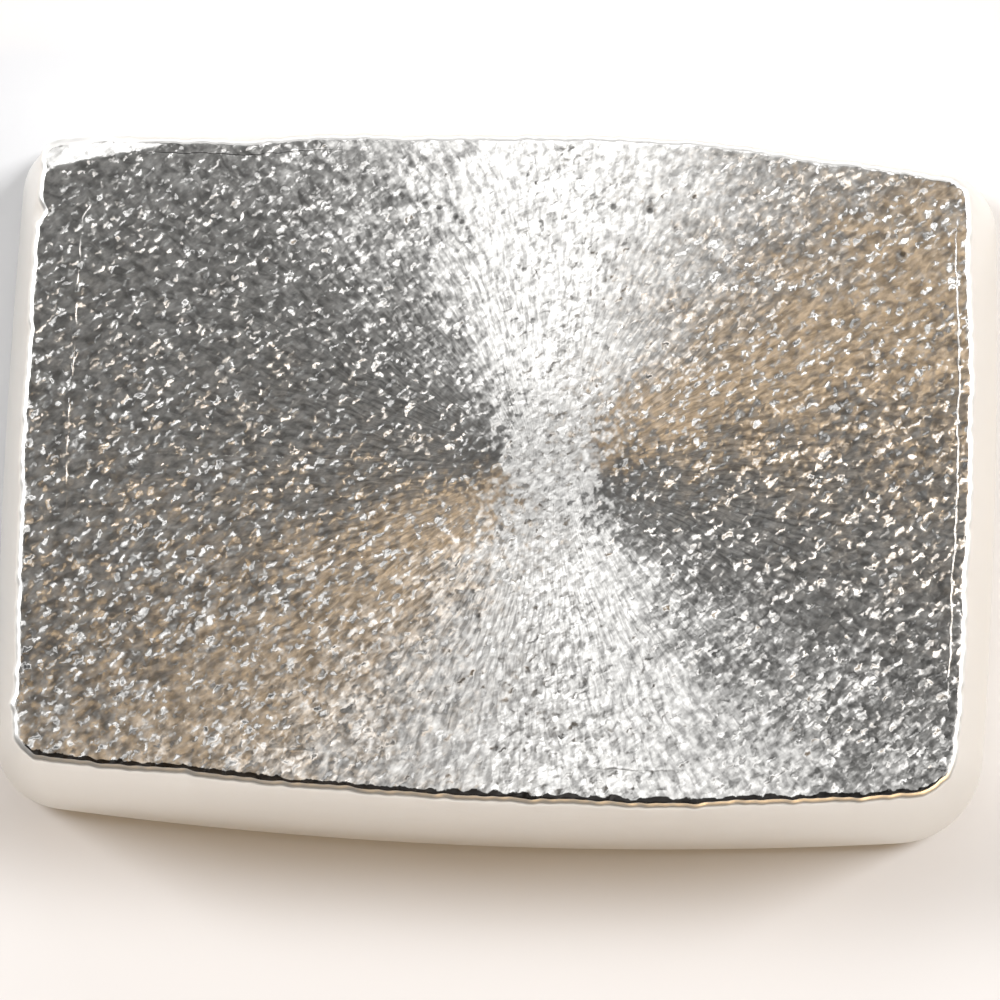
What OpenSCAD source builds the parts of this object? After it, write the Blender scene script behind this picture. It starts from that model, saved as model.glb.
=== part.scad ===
// Small cast metal ingot.
// It lies on its wide pour face, with the narrower face that the mould floor shaped on top.
// Every level of the body is one outline of eight arcs, four crowned sides and four corners, set in or out
// by the wall profile: a rounded lower edge, a drafted wall and a fine round round the cast face.

/* [Cast face] */
// Length of the cast face, left to right over its crowned ends
face_l = 55; // [45:0.5:90]
// Width of the cast face, front to back over its crowned sides
face_w = 38.5; // [30:0.5:60]

/* [Crowned sides] */
// Bulge of the back side past a straight line between its corners
back_crown = 1.6; // [0.2:0.1:3]
// Bulge of the front side
front_crown = 1.4; // [0.2:0.1:3]
// Bulge of the left end
left_crown = 0.4; // [0.1:0.1:2]
// Bulge of the right end
right_crown = 0.5; // [0.1:0.1:2]

/* [Body] */
// Height from the pour face to the cast face
height = 13; // [8:0.5:30]
// Draft of the walls, in degrees from upright
draft = 12; // [2:0.5:20]

/* [Edges] */
// Round between the walls and the cast face
cast_edge_r = 0.5; // [0.2:0.1:0.8]
// Round between the walls and the pour face
pour_edge_r = 1.2; // [0.3:0.1:3]

/* [Corners of the cast face] */
// Radius of the back left corner
back_left_r = 0.9; // [0.9:0.1:6]
// Radius of the back right corner
back_right_r = 1.6; // [0.9:0.1:6]
// Radius of the front left corner
front_left_r = 1.9; // [0.9:0.1:6]
// Radius of the front right corner
front_right_r = 2.8; // [0.9:0.1:6]

/* [Misrun, where the metal did not fill the mould's back left edge] */
// Length of the misrun along the back edge
misrun_l = 7; // [2:0.5:15]
// Width of the misrun across the cast face at the corner
misrun_w = 0.9; // [0.2:0.1:2]
// Fall of the misrun at the back edge
misrun_fall = 0.4; // [0.1:0.1:1]

/* [Hidden] */

// Flat steps in each crowned side, each corner and each edge round
side_steps = 14;
corner_steps = 10;
edge_steps = 7;

half_l = face_l / 2;
half_w = face_w / 2;

// Radius of an arc that rises by crown over half a chord
function crown_radius(half_chord, crown) = (half_chord * half_chord + crown * crown) / (2 * crown);

back_radius = crown_radius(half_l, back_crown);
front_radius = crown_radius(half_l, front_crown);
left_radius = crown_radius(half_w, left_crown);
right_radius = crown_radius(half_w, right_crown);

// The four sides, anticlockwise from the right end: [arc centre, arc radius]
sides = [
    [[half_l - right_radius, 0], right_radius],
    [[0, half_w - back_radius], back_radius],
    [[left_radius - half_l, 0], left_radius],
    [[0, front_radius - half_w], front_radius]
];

// The radius of the corner that follows each side
corner_radii = [back_right_r, back_left_r, front_left_r, front_right_r];

// Direction from one point to another, in degrees
function heading(from, to) = atan2(to.y - from.y, to.x - from.x);

// Turn from one heading to another, from 0 up to 360 degrees
function turn(from, to) = let (t = to - from) t - 360 * floor(t / 360);

// Centre of a corner arc that touches two side arcs from inside, where two circles round their centres cross
function corner_centre(before, after, r) =
    let (
        span = after[0] - before[0],
        d = norm(span),
        reach_before = before[1] - r,
        reach_after = after[1] - r,
        along = (d * d + reach_before * reach_before - reach_after * reach_after) / (2 * d),
        across = sqrt(reach_before * reach_before - along * along),
        u = span / d
    )
    before[0] + along * u + across * [-u.y, u.x];

corners = [for (i = [0:3]) corner_centre(sides[i], sides[(i + 1) % 4], corner_radii[i])];

// Points of one arc, without its last one
function arc(centre, r, from, sweep, steps) =
    [for (k = [0:steps - 1]) let (t = from + sweep * k / steps) centre + r * [cos(t), sin(t)]];

// The outline of the body, moved outwards by out: each side arc, then the corner arc that follows it
function outline(out) = [
    for (i = [0:3])
        let (
            side = sides[i],
            next = sides[(i + 1) % 4],
            start = heading(side[0], corners[(i + 3) % 4]),
            end = heading(side[0], corners[i]),
            leave = heading(next[0], corners[i])
        )
        each concat(
            arc(side[0], side[1] + out, start, turn(start, end), side_steps),
            arc(corners[i], corner_radii[i] + out, end, turn(end, leave), corner_steps)
        )
];

// Distance out to the centre of an edge round of radius r, at height z, that touches the drafted wall
function round_centre_out(z, r) = (height - z) * tan(draft) - r / cos(draft);

// Points [out, z] of an edge round whose centre is at height z
function edge_round(z, r, from, to) = [
    for (k = [0:edge_steps])
        let (t = from + (to - from) * k / edge_steps)
        [round_centre_out(z, r) + r * cos(t), z + r * sin(t)]
];

// The wall profile from the pour face up to the cast face
wall_profile = concat(
    edge_round(pour_edge_r, pour_edge_r, -90, draft),
    edge_round(height - cast_edge_r, cast_edge_r, draft, 90)
);

// The solid between the outlines at every point of the wall profile
module lofted_body() {
    levels = len(wall_profile);
    count = len(outline(0));
    points = [
        for (level = wall_profile)
            for (p = outline(level[0])) [p.x, p.y, level[1]]
    ];
    walls = [
        for (i = [0:levels - 2])
            for (j = [0:count - 1])
                let (k = (j + 1) % count)
                [i * count + j, (i + 1) * count + j, (i + 1) * count + k, i * count + k]
    ];
    pour_face = [for (j = [0:count - 1]) j];
    cast_face = [for (j = [count - 1:-1:0]) (levels - 1) * count + j];
    polyhedron(points, concat(walls, [pour_face, cast_face]));
}

// The space above the misrun: a block whose floor falls backwards from a slanting line on the cast face
module misrun_space() {
    left_end = [-half_l, half_w - back_crown - misrun_w];
    right_x = misrun_l - half_l;
    right_y = sides[1][0].y + sqrt(back_radius * back_radius - right_x * right_x);
    line = [right_x, right_y] - left_end;
    fall_angle = atan(misrun_fall / misrun_w);
    overrun = misrun_l;
    translate([left_end.x, left_end.y, height])
        rotate([0, 0, atan2(line.y, line.x)])
            rotate([-fall_angle, 0, 0])
                translate([-overrun, 0, 0])
                    cube([overrun + norm(line), overrun, overrun]);
}

module ingot() {
    color([0.76, 0.75, 0.73])
        difference() {
            lofted_body();
            misrun_space();
        }
}

ingot();
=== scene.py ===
# %% [markdown]
# # A small poured ingot
#
# The object is one block of pale metal that was poured into an open mould, tipped out and pressed flat.
# It lies on its wide pour face, with the narrower face that the mould floor shaped on top. The solid
# model gives its size, its place and its main form. This lesson adds the skin: pebbles, folds, pits and
# the wavering edges.

import bpy
import numpy as np
from mathutils import Matrix, Vector


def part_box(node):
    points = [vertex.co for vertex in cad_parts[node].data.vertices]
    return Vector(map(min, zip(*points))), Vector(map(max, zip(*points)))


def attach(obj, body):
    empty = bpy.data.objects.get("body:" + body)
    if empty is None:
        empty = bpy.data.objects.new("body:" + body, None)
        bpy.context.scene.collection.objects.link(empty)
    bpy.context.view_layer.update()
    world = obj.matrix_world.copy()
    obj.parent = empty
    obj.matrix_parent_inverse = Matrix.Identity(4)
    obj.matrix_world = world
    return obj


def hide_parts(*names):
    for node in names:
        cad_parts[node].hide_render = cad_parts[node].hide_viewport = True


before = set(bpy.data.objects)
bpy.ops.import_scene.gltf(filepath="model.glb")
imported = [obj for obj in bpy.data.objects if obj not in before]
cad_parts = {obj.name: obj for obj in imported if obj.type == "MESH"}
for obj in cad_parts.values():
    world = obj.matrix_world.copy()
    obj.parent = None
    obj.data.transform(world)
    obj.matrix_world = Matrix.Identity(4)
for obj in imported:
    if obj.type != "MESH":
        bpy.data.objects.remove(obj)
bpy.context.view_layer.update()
MM = 0.001
box_low, box_high = (np.array(corner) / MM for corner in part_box("ingot"))
box_l, box_w, height = box_high - box_low
print(f"solid model: {box_l:.2f} x {box_w:.2f} x {height:.2f} mm")

# %% [markdown]
# ## The outline
#
# Seen from above, the ingot has four crowned sides and four rounded corners. Each side is one long arc
# and each corner a short one that touches its two sides. A point on an arc knows its own outward
# direction, so the same outline, moved out along those directions, serves at every height. A scaled
# copy would be simpler, but scaling would thin the wall at the ends, and a drafted mould moves every
# wall by the same amount.

# %% Sizes of the outline, in millimetres
DRAFT = np.radians(12)
CAST_EDGE_R = 0.5
POUR_EDGE_R = 1.2
CROWNS = {"right": 0.5, "back": 1.6, "left": 0.4, "front": 1.4}
CORNER_RADII = [1.6, 0.9, 1.9, 2.8]


def round_centre_out(z, radius):
    """Distance out from the face's outline to the centre of an edge round at height z that touches the wall:
    the wall's lean at that height, less the radius over the cosine of the draft."""
    return (height - z) * np.tan(DRAFT) - radius / np.cos(DRAFT)


widest_out = round_centre_out(POUR_EDGE_R, POUR_EDGE_R) + POUR_EDGE_R
face_l = box_l - 2 * widest_out
face_w = box_w - 2 * widest_out
print(f"cast face: {face_l:.2f} x {face_w:.2f} mm, wall leans out by {widest_out:.2f} mm")


# %% Side arcs and corner arcs
def crown_radius(half_chord, crown):
    """Radius of an arc that rises by crown over half a chord:
    (half chord squared + crown squared) / 2 crown."""
    return (half_chord**2 + crown**2) / (2 * crown)


def corner_centre(before, after, radius):
    """Centre of a corner arc that touches two side arcs from inside, where two circles round them cross."""
    (centre_a, radius_a), (centre_b, radius_b) = before, after
    span = centre_b - centre_a
    distance = np.hypot(*span)
    reach_a, reach_b = radius_a - radius, radius_b - radius
    along = (distance**2 + reach_a**2 - reach_b**2) / (2 * distance)
    across = np.sqrt(reach_a**2 - along**2)
    ahead = span / distance
    return centre_a + along * ahead + across * np.array([-ahead[1], ahead[0]])


right_r = crown_radius(face_w / 2, CROWNS["right"])
back_r = crown_radius(face_l / 2, CROWNS["back"])
left_r = crown_radius(face_w / 2, CROWNS["left"])
front_r = crown_radius(face_l / 2, CROWNS["front"])
SIDES = [
    (np.array([face_l / 2 - right_r, 0]), right_r),
    (np.array([0, face_w / 2 - back_r]), back_r),
    (np.array([left_r - face_l / 2, 0]), left_r),
    (np.array([0, front_r - face_w / 2]), front_r),
]
CORNERS = [corner_centre(SIDES[i], SIDES[(i + 1) % 4], CORNER_RADII[i]) for i in range(4)]
print("corner centres:", [np.round(corner, 2).tolist() for corner in CORNERS])


# %% Points along one side
def heading(start, end):
    """Direction from start to end, in radians."""
    return np.arctan2(end[1] - start[1], end[0] - start[0])


def side_points(index, steps):
    """Half the corner before the side, the side and half the corner after it, as points at equal distances.
    The last point is left out, because the next side starts there. Gives places and directions out.
    """
    centre, radius = SIDES[index]
    start, end = heading(centre, CORNERS[index - 1]), heading(centre, CORNERS[index])
    end = start + (end - start) % (2 * np.pi)
    before = heading(SIDES[index - 1][0], CORNERS[index - 1])
    after = heading(SIDES[(index + 1) % 4][0], CORNERS[index])
    half_before = ((start - before) % (2 * np.pi)) / 2
    half_after = ((after - end) % (2 * np.pi)) / 2
    arcs = [
        (CORNERS[index - 1], CORNER_RADII[index - 1], start - half_before, start),
        (centre, radius, start, end),
        (CORNERS[index], CORNER_RADII[index], end, end + half_after),
    ]
    lengths = np.array([r * (to - since) for _, r, since, to in arcs])
    ends = np.cumsum(lengths)
    travel = ends[-1] * np.arange(steps) / steps
    which = np.searchsorted(ends, travel, side="right")
    share = (travel - (ends - lengths)[which]) / lengths[which]
    middles = np.array([arc[0] for arc in arcs])[which]
    radii = np.array([arc[1] for arc in arcs])[which]
    since = np.array([arc[2] for arc in arcs])[which]
    to = np.array([arc[3] for arc in arcs])[which]
    angle = since + share * (to - since)
    outward = np.stack([np.cos(angle), np.sin(angle)], axis=1)
    return middles + radii[:, None] * outward, outward


ACROSS = 330
ALONG = 228
rim_parts = [side_points(index, ALONG if index % 2 == 0 else ACROSS) for index in range(4)]
rim = np.concatenate([part[0] for part in rim_parts])
rim_out = np.concatenate([part[1] for part in rim_parts])
RIM = len(rim)
rim_travel = np.concatenate([[0], np.cumsum(np.hypot(*np.diff(np.vstack([rim, rim[:1]]), axis=0).T))])
print(f"{RIM} points round the rim, {rim_travel[-1]:.1f} mm long")

# %% [markdown]
# ## Wavering edges
#
# No two stretches of a hand-poured edge are alike. The long sides bulge most to the right of their
# middle, and the rim wanders by a few hundredths of a millimetre everywhere. Each bulge is a bell curve
# along one side, and the wander is a sum of sine waves whose wavelengths and phases come from a seeded
# generator.

# %% How far the rim of the cast face strays, in millimetres
random = np.random.default_rng(seed=7)


def bell(distance, half_width):
    """One at distance 0, falling to 1/e at half_width."""
    return np.exp(-((distance / half_width) ** 2))


def waves(travel, wavelengths, heights):
    """Sum of sine waves along a closed rim, each fitted to a whole number of waves."""
    length = rim_travel[-1]
    counts = np.round(length / np.asarray(wavelengths))
    phases = random.uniform(0, 2 * np.pi, len(counts))
    turns = 2 * np.pi * travel[:, None] * counts / length + phases
    return np.sin(turns) @ np.asarray(heights)


def bulged(bulges):
    """Sum of bell-shaped bulges, each on the side that faces along its axis and sign."""
    total = np.zeros(RIM)
    for axis, sign, place, half_width, amount in bulges:
        facing, sideways = (rim_out[:, 1], rim[:, 0]) if axis == "y" else (rim_out[:, 0], rim[:, 1])
        total += amount * bell(sideways - place, half_width) * np.clip(sign * facing, 0, 1) ** 2
    return total


# Axis and sign of the side, place along it, half width, amount outwards
BULGES = [
    ("y", 1, 9.5, 7.0, 0.42),
    ("y", 1, -24.5, 3.0, 0.45),
    ("y", 1, -15.0, 4.0, -0.25),
    ("y", -1, 8.5, 8.0, 0.26),
    ("y", -1, -17.5, 6.0, -0.22),
    ("y", -1, 23.0, 3.0, 0.15),
    ("x", -1, -8.0, 6.0, -0.16),
    ("x", 1, 12.0, 5.0, -0.16),
]
NICKS = [
    ("x", -1, 13.9, 0.45, -0.4),
    ("x", -1, -14.8, 0.4, 0.2),
]
# Wavelengths and heights of the wander
WIDE_WAVES = [31, 17, 11.3, 7.9], [0.03, 0.035, 0.03, 0.025]
FINE_WAVES = [4.7, 3.1, 1.9, 1.37, 0.93], [0.022, 0.02, 0.018, 0.016, 0.014]
wide_stray = bulged(BULGES) + waves(rim_travel[:-1], *WIDE_WAVES)
fine_stray = bulged(NICKS) + waves(rim_travel[:-1], *FINE_WAVES)
rim_stray = wide_stray + fine_stray
print(f"rim strays from {rim_stray.min():.2f} to {rim_stray.max():.2f} mm")

# %% [markdown]
# ## Pebbles on the cast face
#
# The mould floor left a skin of small pebbles, each about half a millimetre across, on a face that is
# nearly flat. One pebble sits at a jittered place in each cell of a square grid, and a point's height
# is the highest pebble among the nine cells round it. Sums of plain noise would give soft hills,
# without the flats between.


# %% Height of the pebbled skin
def cell_hash(i, j, salt):
    """A repeatable number from 0 to 1 for each cell: the fraction of a large sine of its indices."""
    value = np.sin(i * 127.1 + j * 311.7 + salt * 74.7) * 43758.5453
    return value - np.floor(value)


def pebbles(x, y, spacing, size):
    """Rounded tops at jittered cell centres, the highest nearby of
    (1 - (distance / size) squared) squared."""
    gx, gy = x / spacing, y / spacing
    i0, j0 = np.floor(gx), np.floor(gy)
    top = np.zeros_like(x)
    for di in (-1, 0, 1):
        for dj in (-1, 0, 1):
            i, j = i0 + di, j0 + dj
            # Each pebble has its own place, direction, stretch and height
            cx = i + 0.1 + 0.8 * cell_hash(i, j, 1)
            cy = j + 0.1 + 0.8 * cell_hash(i, j, 2)
            turn = np.pi * cell_hash(i, j, 3)
            stretch = 1 + 0.7 * cell_hash(i, j, 4)
            tall = 0.35 + 0.65 * cell_hash(i, j, 5)
            dx, dy = gx - cx, gy - cy
            along = (dx * np.cos(turn) + dy * np.sin(turn)) / stretch
            aside = (dy * np.cos(turn) - dx * np.sin(turn)) * stretch**0.5
            reach = np.clip(1 - (along**2 + aside**2) / (size / spacing) ** 2, 0, 1)
            top = np.maximum(top, tall * reach**2)
    return top


PEBBLE_SPACING = 0.62
PEBBLE_SIZE = 0.42
PEBBLE_HEIGHT = 0.016

# Wavelength in millimetres, direction and phase in radians
SWELLS = [(13.0, 0.4, 1.0), (8.3, 2.1, 4.0), (5.1, 1.2, 2.2), (3.4, 2.8, 0.3)]
SWELL_SLOPE = 0.0006


def swells(x, y):
    """Slow swells of the pressed face, a few wide waves that cross at different angles."""
    total = np.zeros_like(x)
    for wavelength, angle, phase in SWELLS:
        distance = x * np.cos(angle) + y * np.sin(angle)
        total += wavelength * np.sin(2 * np.pi * distance / wavelength + phase)
    return total


print(f"{len(SWELLS)} swells, pebbles {PEBBLE_HEIGHT} mm high and {PEBBLE_SPACING} mm apart")

# %% [markdown]
# ## Folds, pits and the pressed border
#
# When the soft block was pressed, its sides rolled over the old edge of the face and left a fold there,
# a thin straight ridge inside each side, and at the back a groove. The folds run along lines of the
# grid, which gets a few close columns and rows for them. A few pits and specks of dross are small dents
# with a dark floor.

# %% Where the folds and pits are, in millimetres from the middle of the face
FOLD_INSETS = {"left": 2.75, "right": 0.85, "back": 0.75, "front": 2.3}
FOLD_HALF_WIDTH = 0.07
FOLD_HEIGHT = 0.022
# Shares of the height: the back fold is a groove, the others are ridges
FOLD_SHARES = {"left": 1.0, "right": 1.0, "back": -0.5, "front": 0.7}
# Start, end and fade of each stretch along its side
FOLD_STRETCHES = {
    "left": [(-4, 16.5, 2)],
    "right": [(-13, 16, 3)],
    "back": [(-22.5, -9, 2)],
    "front": [(-13.5, -9, 1), (6, 12, 1.5)],
}
# The left fold is broken into dashes of about this length
DASH_LENGTH = 2.3
DASH_SWAY, DASH_SWAY_LENGTH = 1.5, 1.7

# Place along x, place along y, radius, depth from 0 to 1
PITS = [
    (-6.05, 15.55, 0.26, 1.0),
    (-5.2, 15.3, 0.2, 0.8),
    (-4.7, 15.2, 0.2, 0.8),
    (-3.85, 14.95, 0.24, 0.9),
    (-2.85, 14.45, 0.26, 1.0),
    (-2.5, 14.15, 0.22, 1.0),
    (-2.2, 13.8, 0.22, 0.9),
    (6.25, 15.35, 0.28, 1.0),
    (8.4, 15.2, 0.26, 1.0),
    (9.85, 14.25, 0.22, 0.8),
    (1.2, 11.5, 0.24, 0.9),
    (23.1, 13.2, 0.26, 1.0),
    (-1.0, -7.3, 0.22, 0.9),
    (-2.2, -7.5, 0.2, 0.8),
    (-0.6, -8.7, 0.22, 0.9),
    (8.0, -8.0, 0.2, 0.8),
    (11.2, -10.4, 0.2, 0.8),
    (3.5, -12.6, 0.2, 0.8),
]
PIT_DEPTH = 0.06


# %% Grid lines, close together at the folds
def lines_with_folds(steps, length, first_inset, last_inset):
    """steps + 1 shares from 0 to 1, equal apart, with the nearest five drawn close together at each fold."""
    shares = np.arange(steps + 1) / steps
    for inset in (first_inset, length - last_inset):
        place = inset / length
        nearest = int(np.round(place * steps))
        offsets = np.array([-2.0, -1.0, 0.0, 1.0, 2.0]) * FOLD_HALF_WIDTH / length
        shares[nearest - 2 : nearest + 3] = place + offsets
    return shares


flat_out = round_centre_out(height - CAST_EDGE_R, CAST_EDGE_R)
flat_rim = rim + rim_out * (flat_out + rim_stray)[:, None]
u = lines_with_folds(ACROSS, face_l, FOLD_INSETS["left"], FOLD_INSETS["right"])
v = lines_with_folds(ALONG, face_w, FOLD_INSETS["front"], FOLD_INSETS["back"])
print(f"grid lines {np.diff(u).min() * face_l:.3f} to {np.diff(u).max() * face_l:.3f} mm apart")

# %% [markdown]
# ## The flat of the cast face
#
# The flat is a grid that fills the rim. Each inner point is blended from the four sides of the rim (a
# Coons patch): the blend across, plus the blend along, less the blend of the four corners. The grid
# shares its border with the walls, so the block has no seam. A fan of rings would crowd its points in
# the middle.

# %% Blend a grid from its four sides
right_side = flat_rim[:ALONG]
back_side = flat_rim[ALONG : ALONG + ACROSS]
left_side = flat_rim[ALONG + ACROSS : 2 * ALONG + ACROSS]
front_side = flat_rim[2 * ALONG + ACROSS :]
right_edge = np.vstack([right_side, back_side[:1]])
back_edge = np.vstack([back_side, left_side[:1]])[::-1]
left_edge = np.vstack([left_side, front_side[:1]])[::-1]
front_edge = np.vstack([front_side, right_side[:1]])


def resample(edge, shares):
    """Points of an edge at new shares of its length."""
    even = np.linspace(0, 1, len(edge))
    return np.stack([np.interp(shares, even, edge[:, axis]) for axis in (0, 1)], axis=1)


right_edge, left_edge = resample(right_edge, v), resample(left_edge, v)
front_edge, back_edge = resample(front_edge, u), resample(back_edge, u)
U, V = u[:, None, None], v[None, :, None]
across = (1 - U) * left_edge[None] + U * right_edge[None]
along = (1 - V) * front_edge[:, None] + V * back_edge[:, None]
corners = (
    (1 - U) * (1 - V) * front_edge[0]
    + U * (1 - V) * front_edge[-1]
    + (1 - U) * V * back_edge[0]
    + U * V * back_edge[-1]
)
flat = across + along - corners
flat_x, flat_y = flat[..., 0], flat[..., 1]
print(f"flat grid: {flat.shape[0]} x {flat.shape[1]} points")


# %% Relief of the flat, in millimetres above it
def fold_ridge(shares, place, length):
    """A sharp little roof over the fold's own grid line."""
    return np.clip(1 - np.abs(shares - place) * length / FOLD_HALF_WIDTH, 0, 1)


def stretch_of(position, start, end, soft):
    """One between start and end, fading over soft at both ends."""
    return np.clip((position - start) / soft, 0, 1) * np.clip((end - position) / soft, 0, 1)


def fold_along(side, ridge, position):
    """A fold's ridge, kept to the stretches of its side."""
    return ridge * sum(stretch_of(position, *stretch) for stretch in FOLD_STRETCHES[side])


left_ridge = fold_ridge(u, FOLD_INSETS["left"] / face_l, face_l)[:, None]
right_ridge = fold_ridge(u, 1 - FOLD_INSETS["right"] / face_l, face_l)[:, None]
back_ridge = fold_ridge(v, 1 - FOLD_INSETS["back"] / face_w, face_w)[None]
front_ridge = fold_ridge(v, FOLD_INSETS["front"] / face_w, face_w)[None]
dash_phase = 2 * np.pi * flat_y / DASH_LENGTH + DASH_SWAY * np.sin(flat_y / DASH_SWAY_LENGTH)
broken = 0.55 + 0.45 * np.sin(dash_phase)
fold_shapes = {
    "left": fold_along("left", left_ridge, flat_y) * broken,
    "right": fold_along("right", right_ridge, flat_y),
    "back": fold_along("back", back_ridge, flat_x),
    "front": fold_along("front", front_ridge, flat_x),
}
folds = FOLD_HEIGHT * sum(FOLD_SHARES[side] * shape for side, shape in fold_shapes.items())

pit_floor = np.zeros_like(flat_x)
for pit_x, pit_y, pit_r, depth in PITS:
    pit_floor = np.maximum(pit_floor, depth * bell(np.hypot(flat_x - pit_x, flat_y - pit_y), pit_r))

relief = PEBBLE_HEIGHT * pebbles(flat_x, flat_y, PEBBLE_SPACING, PEBBLE_SIZE)
relief += SWELL_SLOPE * swells(flat_x, flat_y) + folds - PIT_DEPTH * pit_floor
print(f"relief from {relief.min():.3f} to {relief.max():.3f} mm")

# %% [markdown]
# ## The misrun
#
# By the back left corner the metal froze before it filled the mould's edge, and left a smooth slope
# there. It is a plane that falls backwards from a slanting line, and the face follows whichever of the
# two is lower.

# %% The misrun plane
MISRUN_L = 7.0
MISRUN_W = 0.9
MISRUN_FALL = 0.4
misrun_left = np.array([-face_l / 2, face_w / 2 - CROWNS["back"] - MISRUN_W])
misrun_right_x = MISRUN_L - face_l / 2
misrun_right = np.array([misrun_right_x, SIDES[1][0][1] + np.sqrt(back_r**2 - misrun_right_x**2)])
misrun_line = (misrun_right - misrun_left) / np.hypot(*(misrun_right - misrun_left))


def misrun_drop(x, y):
    """How far the misrun plane lies below the cast face, nothing on the near side of its line."""
    beyond = (y - misrun_left[1]) * misrun_line[0] - (x - misrun_left[0]) * misrun_line[1]
    return np.clip(beyond, 0, None) * MISRUN_FALL / MISRUN_W


# The smooth skin starts a little before the plane and is full where the plane would be this deep
MISRUN_REACH = 0.55
MISRUN_FULL = 0.1
MISRUN_CALM = 0.9
# The flat lies this far below the solid's face, so that no pebble rises past it
RELIEF_ROOM = 0.06
in_misrun = np.clip(misrun_drop(flat_x, flat_y + MISRUN_REACH) / MISRUN_FULL, 0, 1)
flat_z = height - RELIEF_ROOM + relief * (1 - MISRUN_CALM * in_misrun) - misrun_drop(flat_x, flat_y)
print(f"flat from {flat_z.min():.2f} to {flat_z.max():.2f} mm high")

# %% [markdown]
# ## The walls
#
# The walls are one profile carried round the rim: a round at the table, a drafted wall and a fine round
# under the cast face. Each ring of points is the rim moved out by the profile. The wide bulges of the
# rim fade down the wall, because the wider pour side was shaped by a straighter stretch of the mould,
# and its fine wander fades just below the edge. Faint flow ripples run along the wall, as the metal
# left them when it rose in the mould.

# %% The wall profile
POUR_STEPS, WALL_STEPS, CAST_STEPS = 5, 7, 7
# Above 1, the rows of the wall crowd towards the cast face
WALL_CROWDING = 1.6


def edge_round(z, radius, start, end, steps):
    """Points (out, height) of an edge round with its centre at height z, from one angle to another."""
    angle = np.linspace(start, end, steps + 1)
    out = round_centre_out(z, radius) + radius * np.cos(angle)
    return np.stack([out, z + radius * np.sin(angle)], axis=1)


pour_round = edge_round(POUR_EDGE_R, POUR_EDGE_R, -np.pi / 2, DRAFT, POUR_STEPS)
cast_round = edge_round(height - CAST_EDGE_R, CAST_EDGE_R, DRAFT, np.pi / 2, CAST_STEPS)
wall_share = 1 - (1 - np.linspace(0, 1, WALL_STEPS + 1)[1:-1, None]) ** WALL_CROWDING
wall = pour_round[-1] + wall_share * (cast_round[0] - pour_round[-1])
profile = np.vstack([pour_round, wall, cast_round])
rise = np.clip((profile[:, 1] - POUR_EDGE_R) / (height - POUR_EDGE_R), 0, 1)
print(f"wall profile of {len(profile)} points")

# %% Rings of the wall
# The fine wander of the rim falls to 1/e this far below the edge
FINE_FADE = 0.7
RIPPLE_SPACING = 1.9
RIPPLE_DEPTH = 0.012
RIPPLE_FADE = 1.0
RIPPLE_SWAY, SWAYS_ROUND = 0.6, 5
below_edge = np.clip(height - CAST_EDGE_R - profile[:, 1:], 0, None)
ring_out = profile[:, :1] + wide_stray * rise[:, None] ** 2
ring_out = ring_out + fine_stray * np.exp(-below_edge / FINE_FADE)
sway = RIPPLE_SWAY * np.sin(2 * np.pi * rim_travel[:-1] / rim_travel[-1] * SWAYS_ROUND)
ripple_phase = 2 * np.pi * profile[:, 1:] / RIPPLE_SPACING + sway
upright = stretch_of(profile[:, 1:], POUR_EDGE_R, height - CAST_EDGE_R, RIPPLE_FADE)
ring_out = ring_out - RIPPLE_DEPTH * upright * (1 + np.sin(ripple_phase))
ring_xy = rim[None] + rim_out[None] * ring_out[..., None]
crest = np.clip((profile[:, 1:] - (height - CAST_EDGE_R)) / CAST_EDGE_R, 0, 1)
ring_x, ring_y = ring_xy[..., 0], ring_xy[..., 1]
rim_pebbles = PEBBLE_HEIGHT * pebbles(ring_x, ring_y, PEBBLE_SPACING, PEBBLE_SIZE)
rim_swell = SWELL_SLOPE * swells(ring_x, ring_y)
ring_z = profile[:, 1:] + crest * (rim_pebbles + rim_swell - RELIEF_ROOM)
ring_z = ring_z - crest * misrun_drop(ring_x, ring_y)
rings = np.concatenate([ring_xy, ring_z[..., None]], axis=2)
print(f"{rings.shape[0]} rings of {rings.shape[1]} points")

# %% [markdown]
# ## One closed mesh
#
# The points of the flat and of the rings go into one list. The border of the flat takes the place of
# the last ring, and the pour face is a single flat polygon inside the first one. A UV map unrolls the
# wall, so that its finish can follow the wall round the corners. Four point attributes tell the finish
# where the pits and the back groove, the misrun, the folds and the front crease are. A picture could
# carry them too, but they belong to the points. The finish paints shade into the back groove and along
# the front crease.

# %% Points and faces
flat_points = np.concatenate([flat, flat_z[..., None]], axis=2).reshape(-1, 3)
flat_index = np.arange(len(flat_points)).reshape(ACROSS + 1, ALONG + 1)
border = np.concatenate([
    flat_index[-1, :-1],
    flat_index[::-1, -1][:-1],
    flat_index[0, ::-1][:-1],
    flat_index[:-1, 0],
])
ring_count = len(profile) - 1
ring_index = len(flat_points) + np.arange(ring_count * RIM).reshape(ring_count, RIM)
levels = np.vstack([ring_index, border[None]])
points = np.vstack([flat_points, rings[:-1].reshape(-1, 3)])

flat_quads = np.stack(
    [flat_index[:-1, :-1], flat_index[1:, :-1], flat_index[1:, 1:], flat_index[:-1, 1:]], axis=-1
).reshape(-1, 4)
ahead = np.roll(levels, -1, axis=1)
wall_quads = np.stack([levels[:-1], ahead[:-1], ahead[1:], levels[1:]], axis=-1).reshape(-1, 4)
quads = np.vstack([flat_quads, wall_quads])
print(f"{len(points)} points, {len(quads)} four-sided faces")

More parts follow.
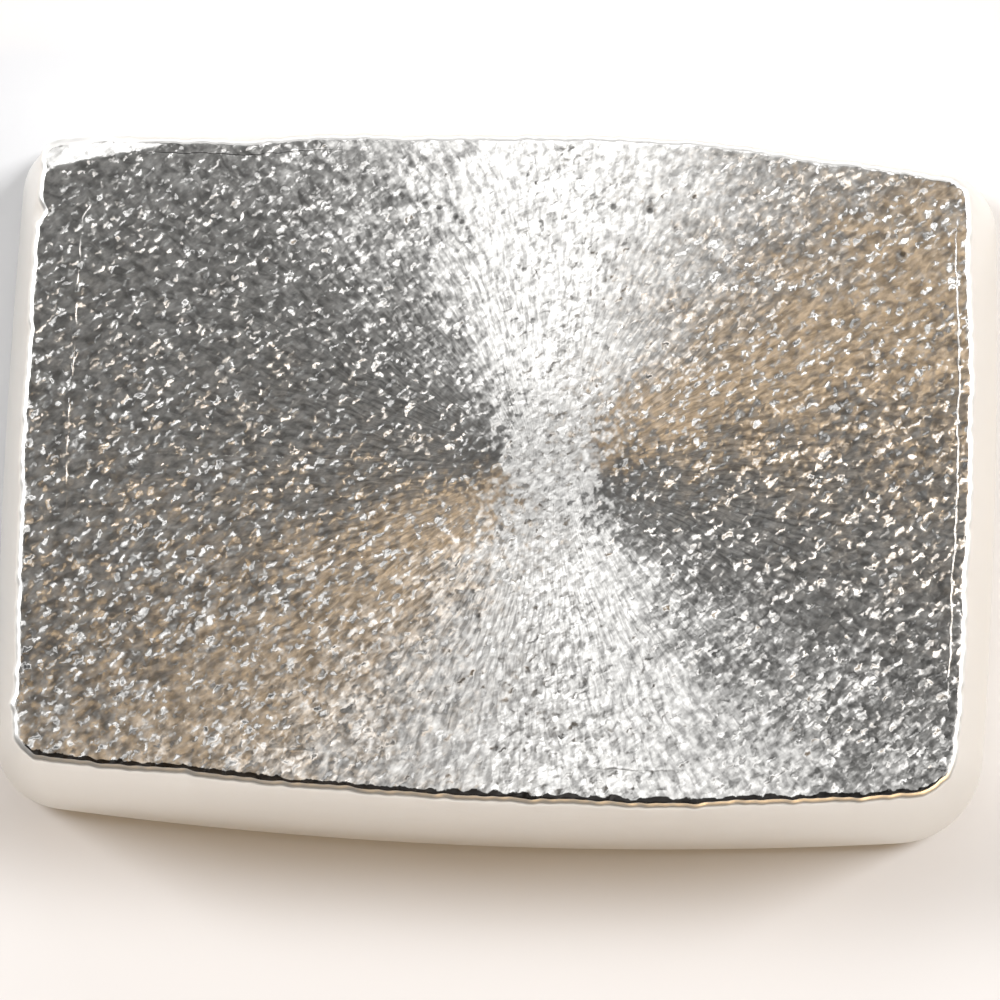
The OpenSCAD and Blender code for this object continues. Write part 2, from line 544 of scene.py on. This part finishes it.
# %% Fill the mesh
mesh = bpy.data.meshes.new("ingot_skin")
corner_total = quads.size + RIM
mesh.vertices.add(len(points))
mesh.loops.add(corner_total)
mesh.polygons.add(len(quads) + 1)
mesh.vertices.foreach_set("co", (points * MM).ravel())
pour_polygon = ring_index[0][::-1]
mesh.loops.foreach_set("vertex_index", np.concatenate([quads.ravel(), pour_polygon]).astype(np.int32))
starts = np.concatenate([np.arange(len(quads)) * 4, [quads.size]]).astype(np.int32)
mesh.polygons.foreach_set("loop_start", starts)
mesh.polygons.foreach_set("use_smooth", np.ones(len(quads) + 1, dtype=bool))
# Material 0 is the cast face with the top row of the wall, material 1 the rest
SKIN_ROWS = 1
slots = np.concatenate([np.zeros(len(flat_quads)), np.ones(len(wall_quads)), [1]]).astype(np.int32)
slots[len(flat_quads) + (ring_count - SKIN_ROWS) * RIM : len(quads)] = 0
mesh.polygons.foreach_set("material_index", slots)
mesh.update(calc_edges=True)
print(f"mesh: {len(mesh.polygons)} polygons")

# %% The unrolled wall
profile_travel = np.concatenate([[0], np.cumsum(np.hypot(*np.diff(profile, axis=0).T))])
flat_uv = points[flat_quads][..., :2]
wall_u = np.stack([rim_travel[:-1], rim_travel[1:], rim_travel[1:], rim_travel[:-1]], axis=-1)
wall_v = np.stack(
    [profile_travel[:-1], profile_travel[:-1], profile_travel[1:], profile_travel[1:]], axis=-1
)
wall_uv = np.stack(np.broadcast_arrays(wall_u[None], wall_v[:, None]), axis=-1)
uv = np.concatenate([flat_uv.reshape(-1, 2), wall_uv.reshape(-1, 2), points[pour_polygon, :2]])
mesh.uv_layers.new(name="unrolled").data.foreach_set("uv", uv.astype(np.float32).ravel())
print(f"wall unrolled to {rim_travel[-1]:.1f} x {profile_travel[-1]:.1f} mm")


# %% Marks that the finish needs
def on_all_points(on_flat, elsewhere):
    """A value for every point: its own on the flat, and one value for all the others."""
    values = np.full(len(points), elsewhere, dtype=np.float32)
    values[: len(flat_points)] = np.broadcast_to(on_flat, flat_x.shape).ravel()
    return values


# Further from the front edge than the crease is ever wide, in millimetres
FAR_GAP = 9.0
marks = {
    # Pits, and the back groove, whose dark line is painted shade
    "pit_and_groove_shade": on_all_points(np.maximum(pit_floor, fold_shapes["back"]), 0.0),
    "misrun": on_all_points(in_misrun, 0.0),
    "fold": on_all_points(fold_shapes["left"] + fold_shapes["right"], 0.0),
    "edge_gap": on_all_points(v * face_w, FAR_GAP),
}
# The wall below the front edge counts as part of the crease, so the crease's painted shade reaches over the
# edge
marks["edge_gap"][ring_index[:, 2 * ALONG + ACROSS :]] = 0.0
for name, values in marks.items():
    mesh.attributes.new(name, "FLOAT", "POINT").data.foreach_set("value", values)
mesh.validate()
print("marks:", list(marks))

# %% The ingot in the frame
ingot = bpy.data.objects.new("ingot_skin", mesh)
bpy.context.scene.collection.objects.link(ingot)
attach(ingot, "root")
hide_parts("ingot")
print(f"ingot skin: {len(mesh.polygons)} faces, about {2 * len(quads) + RIM - 2} triangles")

# %% [markdown]
# ## Finishes
#
# Colours are written as the eye names them, as sRGB hex values, and one function turns them to the
# linear values that light needs. One small function adds a node, sets it and links it.


# %% Colour and node helpers
def linear(code):
    """The linear colour of an sRGB hex value."""
    channels = np.array([int(code[i : i + 2], 16) for i in (1, 3, 5)]) / 255
    return (*np.where(channels <= 0.04045, channels / 12.92, ((channels + 0.055) / 1.055) ** 2.4), 1.0)


def add(tree, kind, settings=None, **inputs):
    """Adds a node. settings are its own properties. An input is a value or a socket to link from, named by
    its socket with underscores for spaces, or in0, in1 by number."""
    node = tree.nodes.new(kind)
    for name, value in (settings or {}).items():
        setattr(node, name, value)
    for name, value in inputs.items():
        numbered = name.startswith("in") and name[2:].isdigit()
        socket = node.inputs[int(name[2:])] if numbered else node.inputs[name.replace("_", " ")]
        if isinstance(value, bpy.types.NodeSocket):
            tree.links.new(value, socket)
        else:
            socket.default_value = value
    return node


def new_material(name):
    """A material with an empty tree and its output node."""
    material = bpy.data.materials.new(name)
    material.use_nodes = True
    material.node_tree.nodes.clear()
    return material, material.node_tree, material.node_tree.nodes.new("ShaderNodeOutputMaterial")


print("mid grey in linear light:", np.round(linear("#808080")[0], 3))


# %% [markdown]
# ## The pressed cast face
#
# The face is fine silver, cast against a rough mould floor and then pressed. The soft metal spread
# under the plate from a short ridge near the middle, so its finest scratches run out from that ridge.
# Such scratches stretch each highlight across themselves, and the face shows bright wings behind and in
# front of the ridge and dark zones beside it. The shader's own anisotropy gives the wings, with its
# tangent turned across the scratches.
#
# The glints come from grains about a third of a millimetre wide. Each leans its own way, so the
# material tilts the normal cell by cell. A mesh fine enough for them would pass the limit of triangles.
#
# The scratches are finer than the picture can show, so they are drawn about a quarter of a millimetre
# wide.

# %% Colours, and sizes in millimetres, on the cast face
SILVER = "#e1dfda"
# Dark of the dross in the pits, also painted as shade into the back groove and the front crease
DROSS_AND_SHADE = "#2a2826"
RIDGE_MIDDLE = np.array([3.2, -0.1, 0.0])
RIDGE_HALF = np.array([2.8, 0.0, 0.0])
# Sum of the distances to the ridge's two ends, at the ridge itself
AT_RIDGE = 2 * RIDGE_HALF[0]
# Patches, rays and crumbs of skin, whose scratches stray together
PATCH = 3.0
RAY_WIDTH, RAY_LENGTH = 0.25, 1.0
CRUMB = 0.45
# How far out from the ridge a ray has that width, and how much its edge wavers
RAY_WIDTH_AT = 12
RAY_WAVER = 0.05
# How far each of them turns the scratches. Crumbs turn them most at the ridge, and least where the sum of
# distances is larger by CALM_AT.
PATCH_WANDER, RAY_WANDER = 0.5, 0.35
RIDGE_WANDER, CRUMB_WANDER, CALM_AT = 2.2, 0.5, 13
# Sizes of the bends in the grains' outlines, and of the mottling between the grains
GRAIN_BEND, GRAIN_BEND_REACH = 0.5, 0.6
MOTTLE = 0.28
MOTTLE_HEIGHT, RAY_HEIGHT = 0.012, 0.03
# Width of a grain, and how far its normal leans along x and y
GRAINS = ((0.35, 1.0, 0.26), (0.22, 0.32, 0.2))
GRAIN_SLANT, GRAIN_STRETCH = np.radians(40), 1.9
# Normals of a fold and of the misrun
FOLD_NORMAL = (0.5, 0.1, 1.0)
MISRUN_NORMAL = (-0.36, 0.12, 1.0)
# Slope that the front half gains with each millimetre towards the front edge, in the shading only
FRONT_RISE = 0.004
# Sideways share of the metal's way in the front half
FRONT_DRIFT = -0.11
# Length of the lumps in the crease's painted shade, and its least and greatest width
CREASE_LUMP, CREASE_THIN, CREASE_WIDE = 0.9, 0.12, 0.5
print(f"ridge {AT_RIDGE:.1f} mm long, grains {[grain[0] for grain in GRAINS]} mm wide")

# %% Ways of the metal
# Bare silver, poured and pressed: a grey sheen with bright wings, broken up into small glints
cast_face, tree, output = new_material("poured silver, pressed face")
place = add(tree, "ShaderNodeTexCoord").outputs["Object"]
place_mm = add(
    tree, "ShaderNodeVectorMath", {"operation": "MULTIPLY"}, in0=place, in1=(1 / MM, 1 / MM, 0.0)
).outputs[0]
place_y = add(tree, "ShaderNodeSeparateXYZ", Vector=place_mm).outputs[1]
from_left, from_right = [
    add(tree, "ShaderNodeVectorMath", {"operation": "SUBTRACT"}, in0=place_mm, in1=tuple(end)).outputs[0]
    for end in (RIDGE_MIDDLE - RIDGE_HALF, RIDGE_MIDDLE + RIDGE_HALF)
]
way_left, way_right = [
    add(tree, "ShaderNodeVectorMath", {"operation": "NORMALIZE"}, in0=way).outputs[0]
    for way in (from_left, from_right)
]
far_left, far_right = [
    add(tree, "ShaderNodeVectorMath", {"operation": "LENGTH"}, in0=way).outputs["Value"]
    for way in (from_left, from_right)
]
slide = add(tree, "ShaderNodeVectorMath", {"operation": "ADD"}, in0=way_left, in1=way_right).outputs[0]

# %% Rays of scratches
# Noise drawn out along the ways of the metal. Along such a way, the distances to the ridge's two ends
# always differ by the same amount.
patches = add(
    tree, "ShaderNodeTexNoise", {"noise_dimensions": "2D"}, Vector=place_mm, Scale=1 / PATCH, Detail=2.0
)
apart = add(tree, "ShaderNodeMath", {"operation": "SUBTRACT"}, in0=far_left, in1=far_right).outputs[0]
together = add(tree, "ShaderNodeMath", {"operation": "ADD"}, in0=far_left, in1=far_right).outputs[0]
apart_share = add(
    tree, "ShaderNodeMath", {"operation": "MULTIPLY"}, in0=apart, in1=0.5 / RIDGE_HALF[0]
).outputs[0]
turn = add(tree, "ShaderNodeMath", {"operation": "ARCCOSINE"}, in0=apart_share).outputs[0]
wavering = add(
    tree, "ShaderNodeMath", {"operation": "MULTIPLY_ADD"}, in0=patches.outputs[0], in1=RAY_WAVER, in2=turn
).outputs[0]
behind = add(tree, "ShaderNodeMath", {"operation": "GREATER_THAN"}, in0=place_y, in1=0.0).outputs[0]
ray_x = add(
    tree, "ShaderNodeMath", {"operation": "MULTIPLY"}, in0=wavering, in1=RAY_WIDTH_AT / RAY_WIDTH
).outputs[0]
ray_y = add(tree, "ShaderNodeMath", {"operation": "MULTIPLY"}, in0=together, in1=0.5 / RAY_LENGTH).outputs[0]
ray_place = add(tree, "ShaderNodeCombineXYZ", X=ray_x, Y=ray_y, Z=behind).outputs[0]
rays = add(
    tree, "ShaderNodeTexNoise", {"noise_dimensions": "3D"},
    Vector=ray_place, Scale=1.0, Detail=2.0, Distortion=0.4,
)

# %% Directions of the scratches
# The metal did not slide evenly. In front it drifted left, its way wanders from patch to patch and from
# ray to ray, and each crumb of the skin has its own way, the more so near the ridge, where it hardly slid.
slid = add(tree, "ShaderNodeVectorMath", {"operation": "NORMALIZE"}, in0=slide).outputs[0]
in_front = add(
    tree, "ShaderNodeMapRange", {"interpolation_type": "SMOOTHSTEP"},
    Value=place_y, From_Min=-1.0, From_Max=-8.0,
).outputs[0]
drift = add(
    tree, "ShaderNodeVectorMath", {"operation": "SCALE"}, in0=(FRONT_DRIFT, 0.0, 0.0), Scale=in_front
).outputs[0]
strayed = add(tree, "ShaderNodeVectorMath", {"operation": "ADD"}, in0=slid, in1=drift).outputs[0]
crumbs = add(
    tree, "ShaderNodeTexNoise", {"noise_dimensions": "2D"}, Vector=place_mm, Scale=1 / CRUMB, Detail=2.0
)
disorder = add(
    tree, "ShaderNodeMapRange", {"interpolation_type": "SMOOTHSTEP"},
    Value=together, From_Min=AT_RIDGE, From_Max=AT_RIDGE + CALM_AT, To_Min=RIDGE_WANDER, To_Max=CRUMB_WANDER,
).outputs[0]
for noise, wander in ((patches, PATCH_WANDER), (rays, RAY_WANDER), (crumbs, disorder)):
    centred = add(
        tree, "ShaderNodeVectorMath", {"operation": "SUBTRACT"},
        in0=noise.outputs["Color"], in1=(0.5, 0.5, 0.5),
    ).outputs[0]
    offset = add(tree, "ShaderNodeVectorMath", {"operation": "SCALE"}, in0=centred, Scale=wander).outputs[0]
    strayed = add(tree, "ShaderNodeVectorMath", {"operation": "ADD"}, in0=strayed, in1=offset).outputs[0]
around = add(
    tree, "ShaderNodeVectorMath", {"operation": "CROSS_PRODUCT"}, in0=(0, 0, 1), in1=strayed
).outputs[0]
tangent = add(tree, "ShaderNodeVectorMath", {"operation": "NORMALIZE"}, in0=around).outputs[0]

# %% Leaning grains
# Coarse and fine grains, drawn out towards the back right, each leaning its own way
slanted = add(
    tree, "ShaderNodeMapping", {"vector_type": "TEXTURE"}, Vector=place_mm,
    Rotation=(0.0, 0.0, GRAIN_SLANT), Scale=(GRAIN_STRETCH, 1.0, 1.0),
).outputs[0]
bend = add(
    tree, "ShaderNodeTexNoise", {"noise_dimensions": "2D"}, Vector=place_mm, Scale=1 / GRAIN_BEND, Detail=2.0
)
bent = add(
    tree, "ShaderNodeVectorMath", {"operation": "MULTIPLY_ADD"},
    in0=bend.outputs["Color"], in1=(GRAIN_BEND_REACH, GRAIN_BEND_REACH, 0.0), in2=slanted,
).outputs[0]
front_y = add(tree, "ShaderNodeMath", {"operation": "MINIMUM"}, in0=place_y, in1=0.0).outputs[0]
front_lean = add(
    tree, "ShaderNodeVectorMath", {"operation": "SCALE"}, in0=(0.0, -FRONT_RISE, 0.0), Scale=front_y
).outputs[0]
true_normal = add(tree, "ShaderNodeNewGeometry").outputs["Normal"]
turned = add(tree, "ShaderNodeVectorMath", {"operation": "ADD"}, in0=true_normal, in1=front_lean).outputs[0]
flank_shade = 1.0
for grain_size, lean_x, lean_y in GRAINS:
    cells = add(
        tree, "ShaderNodeTexVoronoi", {"voronoi_dimensions": "2D"}, Vector=bent, Scale=1 / grain_size
    )
    grain_top = add(
        tree, "ShaderNodeMapRange", {"interpolation_type": "SMOOTHSTEP"},
        Value=cells.outputs["Distance"], From_Min=0.6, From_Max=0.0,
    ).outputs[0]
    own_lean = add(
        tree, "ShaderNodeVectorMath", {"operation": "MULTIPLY_ADD"},
        in0=cells.outputs["Color"], in1=(lean_x, lean_y, 0.0), in2=(-lean_x / 2, -lean_y / 2, 0.0),
    ).outputs[0]
    own_share = add(tree, "ShaderNodeSeparateColor", Color=cells.outputs["Color"]).outputs[2]
    share = add(tree, "ShaderNodeMapRange", Value=own_share, To_Min=0.6, To_Max=1.15).outputs[0]
    steep = add(tree, "ShaderNodeMath", {"operation": "MULTIPLY"}, in0=grain_top, in1=share).outputs[0]
    leaning = add(tree, "ShaderNodeVectorMath", {"operation": "SCALE"}, in0=own_lean, Scale=steep).outputs[0]
    turned = add(tree, "ShaderNodeVectorMath", {"operation": "ADD"}, in0=turned, in1=leaning).outputs[0]
    slope = add(tree, "ShaderNodeVectorMath", {"operation": "LENGTH"}, in0=leaning).outputs["Value"]
    flank = add(
        tree, "ShaderNodeMapRange", Value=slope, From_Min=0.2, From_Max=0.45, To_Min=1.0, To_Max=0.5
    ).outputs[0]
    flank_shade = add(
        tree, "ShaderNodeMath", {"operation": "MULTIPLY"}, in0=flank_shade, in1=flank
    ).outputs[0]

# %% Folds, misrun and mottling
# Folds lean to the right, and the misrun is smooth and leans to the left
fold = add(tree, "ShaderNodeAttribute", {"attribute_name": "fold"}).outputs["Fac"]
folded = add(
    tree, "ShaderNodeMix", {"data_type": "VECTOR"}, Factor=fold, in4=turned, in5=FOLD_NORMAL
).outputs[1]
misrun = add(tree, "ShaderNodeAttribute", {"attribute_name": "misrun"}).outputs["Fac"]
smoothed = add(
    tree, "ShaderNodeMix", {"data_type": "VECTOR"}, Factor=misrun, in4=folded, in5=MISRUN_NORMAL
).outputs[1]
pebbled = add(tree, "ShaderNodeVectorMath", {"operation": "NORMALIZE"}, in0=smoothed).outputs[0]

# Skin between the grains: fine mottling, with the scratches on it
mottle = add(
    tree, "ShaderNodeTexNoise", {"noise_dimensions": "2D"}, Vector=slanted, Scale=1 / MOTTLE, Detail=3.0
).outputs[0]
mottle_bump = add(
    tree, "ShaderNodeBump", Strength=1.0, Distance=MOTTLE_HEIGHT * MM, Height=mottle, Normal=pebbled
)
ray_bump = add(
    tree, "ShaderNodeBump",
    Strength=0.5, Distance=RAY_HEIGHT * MM, Height=rays.outputs[0], Normal=mottle_bump.outputs[0],
)

# %% Colour of the cast face
# Silver, duller in the mottling and in the scratches. Round the ridge and in the front half it is darker
# as painted shade. It is dark in the pits, and dark as painted shade in the back groove and the front crease
dull = add(
    tree, "ShaderNodeMapRange", Value=mottle, From_Min=0.3, From_Max=0.65, To_Min=0.68, To_Max=1.0
).outputs[0]
dull_rays = add(
    tree, "ShaderNodeMapRange", Value=rays.outputs[0], From_Min=0.36, From_Max=0.6, To_Min=0.52, To_Max=1.0
).outputs[0]
# Painted shade: the colour darkens round the ridge, which dims the bright wings where they meet
painted_ridge_dimming = add(
    tree, "ShaderNodeMapRange", {"interpolation_type": "SMOOTHSTEP"},
    Value=together, From_Min=AT_RIDGE, From_Max=AT_RIDGE + 9, To_Min=0.6, To_Max=1.0,
).outputs[0]
ray_share = add(
    tree, "ShaderNodeMapRange", Value=together, From_Min=AT_RIDGE, From_Max=AT_RIDGE + 12
).outputs[0]
ray_shade = add(
    tree, "ShaderNodeMix", {"data_type": "FLOAT"}, Factor=ray_share, in2=1.0, in3=dull_rays
).outputs[0]
# Painted shade: the front half is drawn darker, standing in for the lesser light that falls on it
painted_front_shade = add(
    tree, "ShaderNodeMapRange", {"interpolation_type": "SMOOTHSTEP"},
    Value=place_y, From_Min=-2.0, From_Max=-13.0, To_Min=1.0, To_Max=0.8,
).outputs[0]
shade = dull
for factor in (flank_shade, ray_shade, painted_ridge_dimming, painted_front_shade):
    shade = add(tree, "ShaderNodeMath", {"operation": "MULTIPLY"}, in0=shade, in1=factor).outputs[0]
# Dark dross in the pits, and painted shade in the back groove
pit_and_groove_shade = add(tree, "ShaderNodeAttribute", {"attribute_name": "pit_and_groove_shade"}).outputs["Fac"]
pit_and_groove_dark = add(
    tree, "ShaderNodeMapRange", {"interpolation_type": "SMOOTHSTEP"},
    Value=pit_and_groove_shade, From_Min=0.35, From_Max=0.8, To_Max=0.8,
).outputs[0]
# Painted shade: a ragged dark band along the front edge stands in for the shade in the crease
edge_gap = add(tree, "ShaderNodeAttribute", {"attribute_name": "edge_gap"}).outputs["Fac"]
ragged = add(
    tree, "ShaderNodeTexNoise", {"noise_dimensions": "2D"},
    Vector=place_mm, Scale=1 / CREASE_LUMP, Detail=4.0,
).outputs[0]
crease_shade_width = add(
    tree, "ShaderNodeMapRange",
    Value=ragged, From_Min=0.35, From_Max=0.65, To_Min=CREASE_THIN, To_Max=CREASE_WIDE,
).outputs[0]
inside = add(tree, "ShaderNodeMath", {"operation": "SUBTRACT"}, in0=crease_shade_width, in1=edge_gap).outputs[0]
crease_shade = add(tree, "ShaderNodeMapRange", Value=inside, From_Min=-0.04, From_Max=0.04).outputs[0]
dark_share = add(tree, "ShaderNodeMath", {"operation": "MAXIMUM"}, in0=pit_and_groove_dark, in1=crease_shade).outputs[0]
metal = add(
    tree, "ShaderNodeMix", {"data_type": "RGBA"}, Factor=shade, in6=(0.0, 0.0, 0.0, 1.0), in7=linear(SILVER)
).outputs[2]
colour = add(
    tree, "ShaderNodeMix", {"data_type": "RGBA"}, Factor=dark_share, in6=metal, in7=linear(DROSS_AND_SHADE)
).outputs[2]
shader = add(
    tree, "ShaderNodeBsdfPrincipled",
    Base_Color=colour, Metallic=1.0, Roughness=0.51, Anisotropic=0.86, Tangent=tangent,
    Normal=ray_bump.outputs[0],
)
tree.links.new(shader.outputs[0], output.inputs[0])
print(f"{cast_face.name}: {len(tree.nodes)} nodes")

# %% [markdown]
# ## The walls' finish
#
# The walls froze against a smooth mould and have a satin gloss with flow lines along them. The lines
# are noise on the unrolled wall, drawn out twenty times longer than high. Real grooves in the mesh
# would need many more rows of points for lines that are hardly seen.

# %% Wall material
WALL_SILVER = "#f4f2ed"
FLOW_LENGTH, FLOW_WIDTH, FLOW_HEIGHT = 9, 0.45, 0.03
# Silver that froze against a smooth mould: pale and satin, with faint lines along the wall
mould_wall, tree, output = new_material("poured silver, mould-smooth wall")
unrolled = add(tree, "ShaderNodeUVMap", {"uv_map": "unrolled"}).outputs[0]
flow_place = add(
    tree, "ShaderNodeVectorMath", {"operation": "MULTIPLY"},
    in0=unrolled, in1=(1 / FLOW_LENGTH, 1 / FLOW_WIDTH, 1),
).outputs[0]
flow = add(
    tree, "ShaderNodeTexNoise", {"noise_dimensions": "2D"}, Vector=flow_place, Scale=1.0, Detail=4.0
).outputs[0]
flow_bump = add(tree, "ShaderNodeBump", Strength=0.7, Distance=FLOW_HEIGHT * MM, Height=flow)
shader = add(
    tree, "ShaderNodeBsdfPrincipled",
    Base_Color=linear(WALL_SILVER), Metallic=1.0, Roughness=0.42, Normal=flow_bump.outputs[0],
)
tree.links.new(shader.outputs[0], output.inputs[0])
mesh.materials.append(cast_face)
mesh.materials.append(mould_wall)
print("materials:", [material.name for material in mesh.materials])

# %% [markdown]
# ## Floor
#
# The ingot lies on a plain pale sheet that runs out past every view. It is one square a hair below the
# ingot, so that the two faces do not flicker through each other, and its matt surface catches the
# shadow. A glow far too weak to light the metal lifts it a little where the camera or a mirror image
# sees it.

# %% Floor
FLOOR_HALF = 1.5
FLOOR_GAP = 0.00005
FLOOR_GLOW = 0.01
floor_mesh = bpy.data.meshes.new("floor")
floor_corners = [(x * FLOOR_HALF, y * FLOOR_HALF, 0) for x, y in ((-1, -1), (1, -1), (1, 1), (-1, 1))]
floor_mesh.from_pydata(floor_corners, [], [(0, 1, 2, 3)])
floor = bpy.data.objects.new("floor", floor_mesh)
floor.location.z = -FLOOR_GAP
bpy.context.scene.collection.objects.link(floor)
# Uncoated paper: an even pale grey, matt from every side
paper, tree, output = new_material("pale paper")
lit = add(tree, "ShaderNodeBsdfDiffuse", Color=linear("#d6d5d4"))
glow = add(tree, "ShaderNodeEmission", Color=linear("#f0eeeb"), Strength=FLOOR_GLOW)
ray_kind = add(tree, "ShaderNodeLightPath")
mirrored = add(
    tree, "ShaderNodeMath", {"operation": "MAXIMUM"},
    in0=ray_kind.outputs["Is Glossy Ray"], in1=ray_kind.outputs["Is Transmission Ray"],
).outputs[0]
seen = add(
    tree, "ShaderNodeMath", {"operation": "MAXIMUM"}, in0=ray_kind.outputs["Is Camera Ray"], in1=mirrored
).outputs[0]
dark = add(tree, "ShaderNodeEmission", Strength=0.0)
lift = add(tree, "ShaderNodeMixShader", in0=seen, in1=dark.outputs[0], in2=glow.outputs[0])
sheet = add(tree, "ShaderNodeAddShader", in0=lit.outputs[0], in1=lift.outputs[0])
tree.links.new(sheet.outputs[0], output.inputs[0])
floor_mesh.materials.append(paper)
print(f"floor: {2 * FLOOR_HALF} m square")

# %% [markdown]
# ## Light
#
# A bare metal block is mostly a picture of its surroundings. The room is pale at its two sides and
# darker elsewhere, so that the face stays grey between its bright wings and the front edge stays dark.
#
# A white lamp on the right and another on the left, both a little behind, give the wings. A small warm
# lamp at the front right gives the two tan lobes, and a weak one low behind lights the back wall. One
# large lamp would be simpler, but it would blur the wings and wash out the shadow at the front.

# %% Lamps
LAMP_DISTANCE = 1.4
WHITE = "#fbfcff"
WARM = "#ffd49a"


def aim(obj, place, target):
    """Puts an object at a place and points its -Z axis at a target."""
    obj.location = place
    obj.rotation_euler = (Vector(target) - Vector(place)).to_track_quat("-Z", "Y").to_euler()


def lamp(name, azimuth, elevation, size, light, colour):
    """A soft lamp aimed at the ingot that puts a given light on the floor. Its power is the light times pi
    times the distance squared, over the sine of the elevation. Azimuth 0 is to the right, 90 to the back."""
    a, e = np.radians([azimuth, elevation])
    data = bpy.data.lights.new(name, "AREA")
    data.shape = "RECTANGLE"
    data.size, data.size_y = size
    data.energy = light * np.pi * LAMP_DISTANCE**2 / np.sin(e)
    data.color = linear(colour)[:3]
    obj = bpy.data.objects.new(name, data)
    place = LAMP_DISTANCE * np.array([np.cos(e) * np.cos(a), np.cos(e) * np.sin(a), np.sin(e)])
    aim(obj, place, (0, 0, height * MM))
    obj.visible_camera = False
    bpy.context.scene.collection.objects.link(obj)


# Azimuth and elevation in degrees, size in metres, light on the floor, colour
lamp("white lamp", 26, 45, (0.5, 0.4), 2.0, WHITE)
lamp("left lamp", 152, 43, (0.5, 0.4), 1.4, WHITE)
lamp("warm lamp", -50, 50, (0.2, 0.2), 0.7, WARM)
lamp("low back lamp", 89, 18, (1.2, 0.4), 0.25, WHITE)
print("lamps:", [light.name for light in bpy.data.lights])

# %% Room
ROOM_DARK = "#565656"
ROOM_PALE = "#f4f4f6"
world = bpy.data.worlds.new("pale room")
bpy.context.scene.world = world
world.use_nodes = True
tree = world.node_tree
tree.nodes.clear()
facing = add(tree, "ShaderNodeSeparateXYZ", Vector=add(tree, "ShaderNodeTexCoord").outputs["Generated"])
sideways = add(tree, "ShaderNodeMath", {"operation": "ABSOLUTE"}, in0=facing.outputs[0]).outputs[0]
at_sides = add(
    tree, "ShaderNodeMapRange", {"interpolation_type": "SMOOTHSTEP"},
    Value=sideways, From_Min=0.4, From_Max=0.75,
).outputs[0]
not_front = add(
    tree, "ShaderNodeMapRange", {"interpolation_type": "SMOOTHSTEP"},
    Value=facing.outputs[1], From_Min=-0.15, From_Max=0.25,
).outputs[0]
beside = add(tree, "ShaderNodeMath", {"operation": "MULTIPLY"}, in0=at_sides, in1=not_front).outputs[0]
room = add(
    tree, "ShaderNodeMix", {"data_type": "RGBA"}, Factor=beside, in6=linear(ROOM_DARK), in7=linear(ROOM_PALE)
).outputs[2]
background = add(tree, "ShaderNodeBackground", Color=room, Strength=1.0)
tree.links.new(background.outputs[0], add(tree, "ShaderNodeOutputWorld").inputs[0])
print(f"{world.name}: {len(tree.nodes)} nodes")

# %% [markdown]
# ## Camera
#
# The camera looks almost straight down, leaning a little to the front and turned by two degrees. Its
# lens makes a millimetre on the face as many picture points as in the photograph.

# %% Camera
PICTURE = 1000
POINTS_PER_MM = 17.34
CAMERA_DISTANCE = 0.24
LEAN_FRONT, LEAN_LEFT, TURN = np.radians([5.893, 1.135, 2.269])
FACE_MIDDLE_AT = (495.3, 465.5)

camera_data = bpy.data.cameras.new("camera")
camera = bpy.data.objects.new("camera", camera_data)
bpy.context.scene.collection.objects.link(camera)
bpy.context.scene.camera = camera
camera_data.sensor_width = 36.0
camera_data.lens = POINTS_PER_MM / MM * CAMERA_DISTANCE * camera_data.sensor_width / PICTURE
camera_data.clip_start = 0.01
camera_data.shift_x = 0.5 - FACE_MIDDLE_AT[0] / PICTURE
camera_data.shift_y = FACE_MIDDLE_AT[1] / PICTURE - 0.5
toward = Vector((np.sin(LEAN_LEFT), -np.sin(LEAN_FRONT), 0))
toward.z = np.sqrt(1 - toward.x**2 - toward.y**2)
up = Vector((-np.sin(TURN), np.cos(TURN), 0))
up = (up - toward * up.dot(toward)).normalized()
right = up.cross(toward)
stance = Matrix((right, up, toward)).transposed().to_4x4()
face_middle = Vector((0, 0, height * MM))
camera.matrix_world = Matrix.Translation(face_middle + toward * CAMERA_DISTANCE) @ stance
print(f"lens {camera_data.lens:.1f} mm, shift {camera_data.shift_x:.4f}, {camera_data.shift_y:.4f}")

# %% Picture settings
bpy.context.scene.view_settings.view_transform = "Standard"
